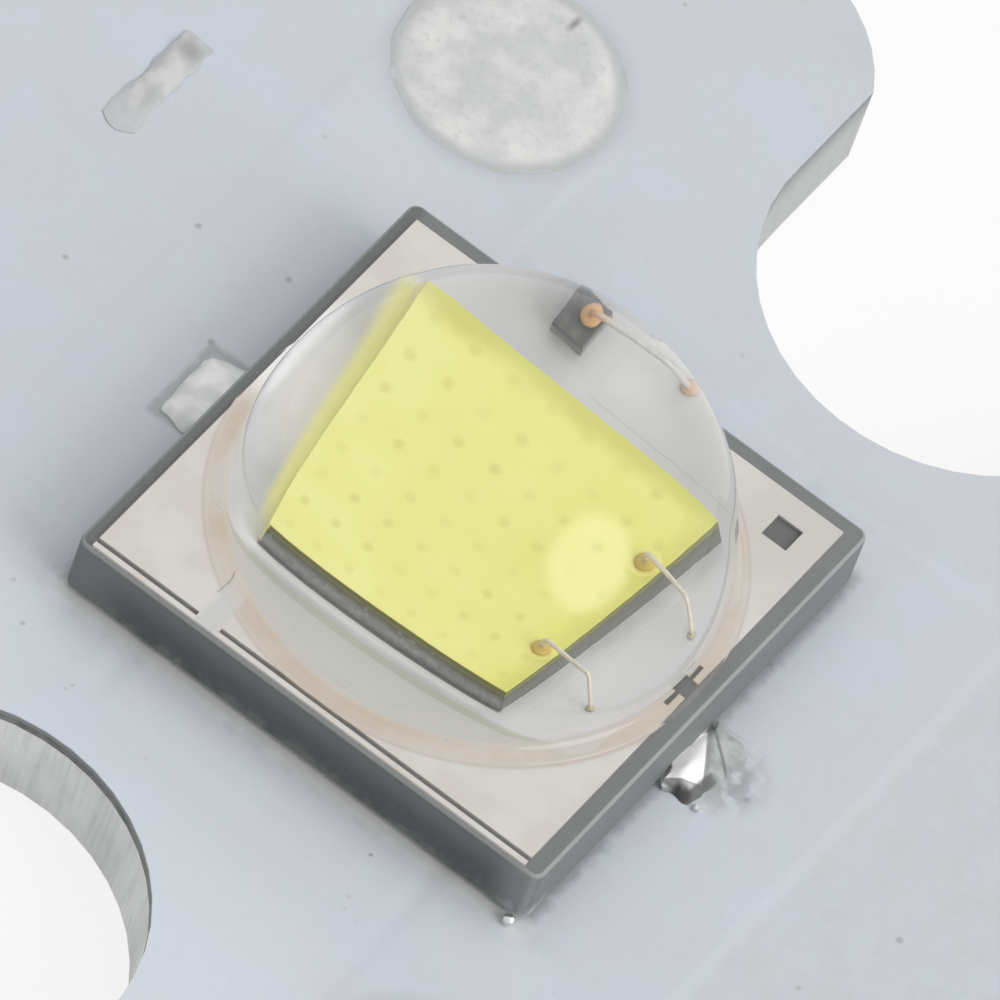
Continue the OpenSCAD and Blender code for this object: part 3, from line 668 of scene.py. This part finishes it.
def buildDome():
    # a foot ring, a small fillet and the round cap, turned once round
    start = math.degrees(math.asin((dome["centreZ"] - dome["slopeTop"]) / dome["radius"]))
    skirt = dome["radius"] * math.cos(math.radians(start))
    foot, top = dome["footRadius"], dome["footTop"]
    bm = bmesh.new()
    vert = bm.verts.new((0, 0, dome["bottom"]))
    for x, z in ((foot, dome["bottom"]), (foot, top - dome["lip"]), (foot - dome["lip"], top),
                 ((foot + dome["radius"]) / 2, top + dome["lipRise"]),
                 (skirt + dome["curl"], top + dome["curl"]), (skirt, dome["slopeTop"])):
        vert = lineTo(bm, vert, x, z)
    bmesh.ops.spin(bm, geom=[vert], cent=(0, 0, dome["centreZ"]), axis=(0, -1, 0),
                   angle=math.radians(90 + start), steps=dome["arcSteps"])
    bmesh.ops.spin(bm, geom=bm.verts[:] + bm.edges[:], cent=(0, 0, 0), axis=(0, 0, 1),
                   angle=math.tau, steps=dome["steps"], use_merge=True)
    bmesh.ops.remove_doubles(bm, verts=bm.verts, dist=1e-6)
    return meshObject("clearDome", bm, looks["lens"], ["lens"], sharpAngle=75)


def buildGlaze():
    # it fills the narrow gaps between the inner lands almost up to their tops
    glaze = {"radius": 2.342, "half": 2.0735, "low": 1.688, "high": 1.7185, "sides": 128}
    bm = bmesh.new()
    disc(bm, glaze["radius"], glaze["low"], glaze["high"], glaze["sides"])
    for side in (-1, 1):
        cut = bmesh.ops.bisect_plane(bm, geom=bm.verts[:] + bm.edges[:] + bm.faces[:], clear_outer=True,
                                     plane_co=(side * glaze["half"], 0, 0), plane_no=(side, 0, 0))["geom_cut"]
        bmesh.ops.holes_fill(bm, edges=edgesIn(cut), sides=0)
    return meshObject("paleGlaze", bm, looks["silver"], sharpAngle=40)


buildDome()
buildGlaze()
print("dome built")


wires = {"radius": 0.018, "sides": 16, "ballHeight": 0.06, "neck": 0.02, "bend": 0.06, "bendSteps": 10,
         "fall": 72, "fallSteps": 8, "stitch": (0.05, 0.036, 0.016), "stitchRise": 0.012,
         "roundBondWires": {"node": "bond_wires", "look": "gold", "ball": 0.07,
                            "runs": [((0.925, -0.57, 1.905), (1.525, -0.64)),
                                     ((0.925, 0.47, 1.905), (1.525, 0.4))]},
         "roundDiodeWire": {"node": "diode_wire", "look": "copperGold", "ball": 0.056,
                            "runs": [((-0.345, 1.428, 1.84), (0.23, 1.5))]}}


def loopEdges(bm, loop):
    return [e for e in bm.edges if e.verts[0] in loop and e.verts[1] in loop]


def pushLoop(bm, loop, way):
    loop = set(vertsIn(bmesh.ops.extrude_edge_only(bm, edges=loopEdges(bm, loop))["geom"]))
    bmesh.ops.translate(bm, verts=list(loop), vec=way)
    return loop


def bendLoop(bm, loop, centre, degrees, steps):
    made = bmesh.ops.spin(bm, geom=list(loop) + loopEdges(bm, loop), cent=centre, axis=(0, 1, 0),
                          angle=math.radians(degrees), steps=steps)
    return set(vertsIn(made["geom_last"]))


def lump(bm, place, size):
    made = bmesh.ops.create_uvsphere(bm, u_segments=20, v_segments=12, radius=1)["verts"]
    bmesh.ops.scale(bm, verts=made, vec=size)
    bmesh.ops.translate(bm, verts=made, vec=place)


def oneWire(bm, start, end, ballRadius):
    older = set(bm.verts)
    half, bend = wires["ballHeight"] / 2, wires["bend"]
    run = math.hypot(end[0] - start[0], end[1] - start[1])
    neckTop = wires["ballHeight"] + wires["neck"]
    fall = math.radians(wires["fall"])
    endZ = level["land"] + wires["stitchRise"] - start[2]
    drop = neckTop + bend * math.cos(fall) - endZ
    straight = run - drop / math.tan(fall) - bend * (1 + math.sin(fall))
    loop = set(bmesh.ops.create_circle(bm, segments=wires["sides"], radius=wires["radius"])["verts"])
    bmesh.ops.translate(bm, verts=list(loop), vec=(0, 0, half))
    loop = pushLoop(bm, loop, (0, 0, neckTop - half))
    loop = bendLoop(bm, loop, (bend, 0, neckTop), 90, wires["bendSteps"])
    loop = pushLoop(bm, loop, (straight, 0, 0))
    loop = bendLoop(bm, loop, (bend + straight, 0, neckTop), wires["fall"], wires["fallSteps"])
    pushLoop(bm, loop, (drop / math.tan(fall), 0, -drop))
    closeHoles(bm)
    lump(bm, (0, 0, half), (ballRadius, ballRadius, half))
    lump(bm, (run, 0, endZ), wires["stitch"])
    fresh = [v for v in bm.verts if v not in older]
    turn = math.atan2(end[1] - start[1], end[0] - start[0])
    bmesh.ops.rotate(bm, verts=fresh, matrix=Matrix.Rotation(turn, 3, "Z"))
    bmesh.ops.translate(bm, verts=fresh, vec=start)


def buildWires():
    for name in ("roundBondWires", "roundDiodeWire"):
        wire = wires[name]
        bm = bmesh.new()
        for start, end in wire["runs"]:
            oneWire(bm, start, end, wire["ball"])
        meshObject(name, bm, looks[wire["look"]], [wire["node"]])


def buildBondPads():
    # they fill the phosphor's two round holes
    pad = {"x": 0.925, "rows": (-0.57, 0.47), "radius": 0.113, "low": 1.879, "high": 1.9305,
           "sides": 32}
    bm = bmesh.new()
    for row in pad["rows"]:
        disc(bm, pad["radius"], pad["low"], pad["high"], pad["sides"], pad["x"], row)
    meshObject("broadBondPads", bm, looks["pad"], ["bond_pads"])


buildWires()
buildBondPads()
print("wires built")


def wobble(x, y, scale, seed):
    return noise.noise(Vector((x * scale + seed, y * scale - seed, seed)))


def gridMound(bm, plan, heightAt):
    # a grid laid over four corners, its rim rounded and ragged, closed down to its foot
    made = bmesh.ops.create_grid(bm, x_segments=plan["cells"], y_segments=plan["cells"], size=1)["verts"]
    nearA, nearB, farB, farA = [Vector(corner) for corner in plan["corners"]]
    bend, perMm, seeds = plan["roundness"], plan["perMm"], (3.1, 8.7)
    for vert in made:
        s, t = vert.co.x, vert.co.y
        rim = 1 - max(abs(s), abs(t))
        along = s * math.sqrt(1 - bend * t * t / 2) * 0.5 + 0.5
        across = t * math.sqrt(1 - bend * s * s / 2) * 0.5 + 0.5
        place = nearA.lerp(nearB, across).lerp(farA.lerp(farB, across), along)
        edge = (1 - rim) ** 3 * plan["ragged"]
        place += Vector([wobble(place.x, place.y, perMm, seed) for seed in seeds]) * edge
        vert.co = (place.x, place.y, heightAt(place.x, place.y, along, across, rim))
    rimEdges = [e for e in bm.edges if e.is_boundary and e.verts[0] in made]
    for vert in vertsIn(bmesh.ops.extrude_edge_only(bm, edges=rimEdges)["geom"]):
        vert.co.z = level["solderFoot"]
    closeHoles(bm)


def cushion(rim, power):
    return 1 - (1 - rim) ** power


def lumps(x, y, layers):
    # each layer has a height, how many lumps come to a millimetre, and a seed
    return sum(high * wobble(x, y, perMm, seed) for high, perMm, seed in layers)


def jointBoxes(bm, side):
    # the joint under the body, its step at the wall and the tinned tab: near, far, half its width and top
    joint = {"foot": 0.97,
             "boxes": ((1.77, 2.42, 2.42, 1.04), (2.42, 2.5, 0.43, 1.07), (2.5, 3.02, 0.43, 0.9988))}
    for nearX, farX, halfY, top in joint["boxes"]:
        low = (min(side * nearX, side * farX), -halfY, joint["foot"])
        high = (max(side * nearX, side * farX), halfY, top)
        for vert in bmesh.ops.create_cube(bm, size=1)["verts"]:
            vert.co = [low[i] + (vert.co[i] + 0.5) * (high[i] - low[i]) for i in range(3)]


def buildCathodeTab():
    plan = {"corners": [(-2.44, 0.45), (-2.44, -0.46), (-3.02, -0.47), (-3.02, 0.42)], "roundness": 0.45,
            "ragged": 0.04, "perMm": 6, "cells": 44, "rise": 0.085, "climb": 0.03,
            "lumps": ((0.022, 4.5, 1.7), (0.01, 11, 5.2))}

    def height(x, y, along, across, rim):
        rise = plan["rise"] + plan["climb"] * (1 - along) + lumps(x, y, plan["lumps"])
        return level["mask"] + rise * cushion(rim, 5)

    bm = bmesh.new()
    gridMound(bm, plan, height)
    jointBoxes(bm, -1)
    meshObject("cathodeTab", bm, looks["cathodeTin"], ["cathode_solder"])


def buildAnodeFillet():
    plan = {"corners": [(2.497, -0.5), (2.497, 0.45), (2.97, 0.36), (2.83, -0.5)], "roundness": 0.22,
            "ragged": 0.06, "perMm": 7, "cells": 56, "low": 0.992, "rise": 0.03, "lumps": ((0.004, 8, 2.3),),
            "climb": 0.04, "hump": 0.1, "humpAcross": (0.3, 0.3),
            "belly": 0.06, "bellyAlong": (0.42, 0.25), "bellyAcross": (0.28, 0.22)}
    bead = {"at": (2.9, -0.455, 1.02), "radius": 0.036}

    def bell(value, middle, width):
        return math.exp(-((value - middle) / width) ** 2)

    def height(x, y, along, across, rim):
        climb = (1 - along) ** 1.5 * (plan["climb"] + plan["hump"] * bell(across, *plan["humpAcross"]))
        belly = plan["belly"] * bell(along, *plan["bellyAlong"]) * bell(across, *plan["bellyAcross"])
        uneven = lumps(x, y, plan["lumps"]) * rim
        return plan["low"] + plan["rise"] * cushion(rim, 4) + climb + belly + uneven

    bm = bmesh.new()
    gridMound(bm, plan, height)
    jointBoxes(bm, 1)
    ball = bmesh.ops.create_uvsphere(bm, u_segments=24, v_segments=14, radius=bead["radius"])["verts"]
    bmesh.ops.translate(bm, verts=ball, vec=bead["at"])
    meshObject("anodeFillet", bm, looks["anodeTin"], ["anode_solder"])


def buildMarks():
    # rough tinned bars: one for the minus, two crossed ones for the plus
    marks = {"minusMark": ("minus_mark", (-5.095, 2.4), [(0.34, 1.34)]),
             "plusMark": ("plus_mark", (5.09, -2.4), [(0.34, 1.04), (1.04, 0.34)])}
    crown, uneven = 0.014, ((0.014, 4, 4.4), (0.006, 11, 9.9))

    def height(x, y, along, across, rim):
        return level["tinned"] + (crown + lumps(x, y, uneven)) * cushion(rim, 3)

    for name, (replaced, (midX, midY), bars) in marks.items():
        bm = bmesh.new()
        for wide, tall in bars:
            plan = {"corners": [(midX + sideX * wide / 2, midY + sideY * tall / 2)
                                for sideX, sideY in ((-1, 1), (-1, -1), (1, -1), (1, 1))],
                    "roundness": 0.3, "ragged": 0.05, "perMm": 5, "cells": 40}
            gridMound(bm, plan, height)
        meshObject(name, bm, looks["markTin"], [replaced])


def buildWirePads():
    pads = {"minusPad": ("minus_wire_pad", 1.4), "plusPad": ("plus_wire_pad", 6.1)}
    radius, crown = 1.07, 0.03
    for (name, (replaced, seed)), (midX, midY) in zip(pads.items(), shared["pads"]):
        def height(x, y, along, across, rim):
            away = math.hypot(x - midX, y - midY) / radius
            uneven = lumps(x, y, ((0.012, 1.6, seed), (0.008, 4.5, seed + 3)))
            return level["tinned"] + crown * max(0, 1 - away * away) + uneven * min(1, rim * 6)

        plan = {"corners": [(midX + sideX * radius, midY + sideY * radius)
                            for sideX, sideY in ((-1, -1), (-1, 1), (1, 1), (1, -1))],
                "roundness": 1, "ragged": 0.035, "perMm": 3, "cells": 72}
        bm = bmesh.new()
        gridMound(bm, plan, height)
        meshObject(name, bm, looks["padTin"], [replaced])


def buildFibre():
    # a stray hair on the outer land beside the tie bar
    hair = {"from": (-1.278, -2.092), "length": 0.27, "radius": 0.0045, "sag": 0.005, "steps": 12}
    bm = bmesh.new()
    bmesh.ops.create_circle(bm, segments=8, radius=hair["radius"], cap_ends=True)
    bmesh.ops.rotate(bm, verts=bm.verts, matrix=Matrix.Rotation(math.radians(-90), 3, "X"))
    bmesh.ops.translate(bm, verts=bm.verts, vec=(*hair["from"], level["land"] + hair["radius"]))
    face = bm.faces[:][0]
    for step in range(hair["steps"]):
        made = bmesh.ops.extrude_face_region(bm, geom=[face])["geom"]
        aside = hair["sag"] * math.cos(step / (hair["steps"] - 1) * math.pi)
        bmesh.ops.translate(bm, verts=vertsIn(made), vec=(aside, hair["length"] / hair["steps"], 0))
        bmesh.ops.delete(bm, geom=[face], context="FACES_ONLY")
        face = [g for g in made if isinstance(g, bmesh.types.BMFace)][0]
    return meshObject("strayFibre", bm, looks["fibre"])


buildCathodeTab()
buildAnodeFillet()
buildMarks()
buildWirePads()
buildFibre()
print("solder and fibre built")


def copyOf(nodeName):
    bm = bmesh.new()
    bm.from_mesh(nodes[nodeName].data)
    bmesh.ops.scale(bm, verts=bm.verts, vec=(1 / mm, 1 / mm, 1 / mm))
    return bm


def joinFlats(bm):
    clean = {"apart": 1e-4, "angle": 0.5}
    bmesh.ops.remove_doubles(bm, verts=bm.verts, dist=clean["apart"])
    bmesh.ops.dissolve_limit(bm, angle_limit=math.radians(clean["angle"]), verts=bm.verts, edges=bm.edges)


def softMask():
    # the mask's steps over the copper, turned from walls into slopes
    raised = {"from": 0.985, "low": 0.991, "rise": 0.009, "half": 0.09, "slack": 0.002,
              "shares": (-1, -0.5, 0, 0.5, 1),
              "areas": ((1.74, -4.7, 3.93, 3.13), (-3.93, -3.13, -1.74, 4.7), (-1.55, -3.23, 1.55, 3.23))}
    bm = copyOf("solder_mask")
    for vert in bm.verts:
        if vert.co.z > raised["from"] - raised["slack"]:
            vert.co.z = raised["low"]
    joinFlats(bm)
    for axis in (0, 1):
        for line in sorted({area[axis + side] for area in raised["areas"] for side in (0, 2)}):
            for share in raised["shares"]:
                place = [0, 0, 0]
                place[axis] = line + share * raised["half"]
                bmesh.ops.bisect_plane(bm, geom=bm.verts[:] + bm.edges[:] + bm.faces[:], dist=1e-5,
                                       plane_co=place, plane_no=[float(axis == i) for i in range(3)])
    for vert in bm.verts:
        if vert.co.z < raised["low"] - raised["slack"]:
            continue
        deepest = max(min(vert.co.x - x0, x1 - vert.co.x, vert.co.y - y0, y1 - vert.co.y)
                      for x0, y0, x1, y1 in raised["areas"])
        share = min(max(deepest / raised["half"] / 2 + 0.5, 0), 1)
        vert.co.z = raised["low"] + raised["rise"] * share * share * (3 - 2 * share)
    bmesh.ops.triangulate(bm, faces=bm.faces)
    return meshObject("softMask", bm, looks["mask"], ["solder_mask"], sharpAngle=1)


def roundedCeramic():
    rounding = {"offset": 0.035, "segments": 4, "cornerMid": 2.4, "cornerRadius": 0.09}
    bm = copyOf("ceramic_body")
    joinFlats(bm)
    topZ = max(v.co.z for v in bm.verts)

    def onRim(vert):
        x, y = abs(vert.co.x), abs(vert.co.y)
        past = [max(side - rounding["cornerMid"], 0) for side in (x, y)]
        return abs(vert.co.z - topZ) < 1e-3 and math.hypot(*past) > rounding["cornerRadius"]

    rim = [e for e in bm.edges if onRim(e.verts[0]) and onRim(e.verts[1]) and e.calc_face_angle(0) > 1]
    bmesh.ops.bevel(bm, geom=rim, affect="EDGES", offset=rounding["offset"], segments=rounding["segments"],
                    profile=0.5, material=-1)
    return meshObject("roundedCeramic", bm, looks["ceramic"], ["ceramic_body"], sharpAngle=30)


softMask()
roundedCeramic()
print("softened copies built")


def buildFloor():
    # in metres; it looks evenly white, and takes the object's soft shadow
    ground = {"half": 0.4, "drop": 0.00002, "tone": (0.9, 0.9, 0.9, 1), "roughness": 0.9, "glow": 0.82}
    bm = bmesh.new()
    bmesh.ops.create_grid(bm, x_segments=1, y_segments=1, size=ground["half"])
    bmesh.ops.translate(bm, verts=bm.verts, vec=(0, 0, -ground["drop"]))
    mesh = bpy.data.meshes.new("paleFloor")
    bm.to_mesh(mesh)
    bm.free()
    floor = bpy.data.objects.new("paleFloor", mesh)
    bpy.context.scene.collection.objects.link(floor)
    material, tree, bsdf, out = newMaterial("paleFloor", {"Base Color": ground["tone"],
                                                          "Roughness": ground["roughness"]})
    glow = put(tree, "ShaderNodeEmission", {"Color": (1, 1, 1, 1), "Strength": 1.0}).outputs[0]
    path = put(tree, "ShaderNodeLightPath").outputs
    seen = mathNode(tree, "MAXIMUM", path["Is Camera Ray"], path["Is Glossy Ray"])
    seen = mathNode(tree, "MAXIMUM", seen, path["Is Transmission Ray"])
    both = put(tree, "ShaderNodeMixShader", {0: mathNode(tree, "MULTIPLY", seen, ground["glow"]),
                                             1: bsdf.outputs[0], 2: glow})
    tree.links.new(both.outputs[0], out.inputs[0])
    mesh.materials.append(material)


def buildWorld():
    # an even pale room with one soft window low on the anode side and one high at the back
    light = {"fill": 0.385, "mirrored": 0.95, "window": ((0.877, -0.073, 0.474), 24, 15, 3.7),
             "back": ((0.2, 0.55, 0.81), 60, 25, 0.75)}
    world = bpy.data.worlds.new("studio")
    bpy.context.scene.world = world
    world.use_nodes = True
    tree = world.node_tree
    tree.nodes.clear()
    way = put(tree, "ShaderNodeTexCoord").outputs["Generated"]

    def soft(direction, wide, core, strength):
        near = vectorNode(tree, "DOT_PRODUCT", {0: way, 1: direction})["Value"]
        shape = ramp(tree, near, math.cos(math.radians(wide)), math.cos(math.radians(core)))
        return mathNode(tree, "MULTIPLY", shape, strength)

    path = put(tree, "ShaderNodeLightPath").outputs
    mirrored = mathNode(tree, "MAXIMUM", path["Is Glossy Ray"], path["Is Transmission Ray"])
    base = ramp(tree, mirrored, 0, 1, light["fill"], light["mirrored"])
    windows = mathNode(tree, "ADD", soft(*light["window"]), soft(*light["back"]))
    total = mathNode(tree, "ADD", windows, base)
    shown = put(tree, "ShaderNodeMix", {0: path["Is Camera Ray"], 2: total, 3: 1.0}, data_type="FLOAT")
    glow = put(tree, "ShaderNodeBackground", {"Color": (1, 1, 1, 1), "Strength": shown.outputs[0]})
    tree.links.new(glow.outputs[0], tree.nodes.new("ShaderNodeOutputWorld").inputs[0])


def buildCamera():
    # place, lens and sensor in millimetres, turn in degrees, clip in metres
    view = {"place": (31.8122, -90.1845, 129.5745), "turn": (35.11395, -12.21959, 36.13423),
            "lens": 668.16, "sensor": 36, "clip": (0.005, 5)}
    lens = bpy.data.cameras.new("photoView")
    lens.sensor_width = view["sensor"]
    lens.lens = view["lens"]
    lens.clip_start, lens.clip_end = view["clip"]
    camera = bpy.data.objects.new("photoView", lens)
    camera.location = [v * mm for v in view["place"]]
    camera.rotation_euler = [math.radians(v) for v in view["turn"]]
    bpy.context.scene.collection.objects.link(camera)
    bpy.context.scene.camera = camera


buildFloor()
buildWorld()
buildCamera()
bpy.context.scene.view_settings.view_transform = "Standard"
print("floor, light and camera set")
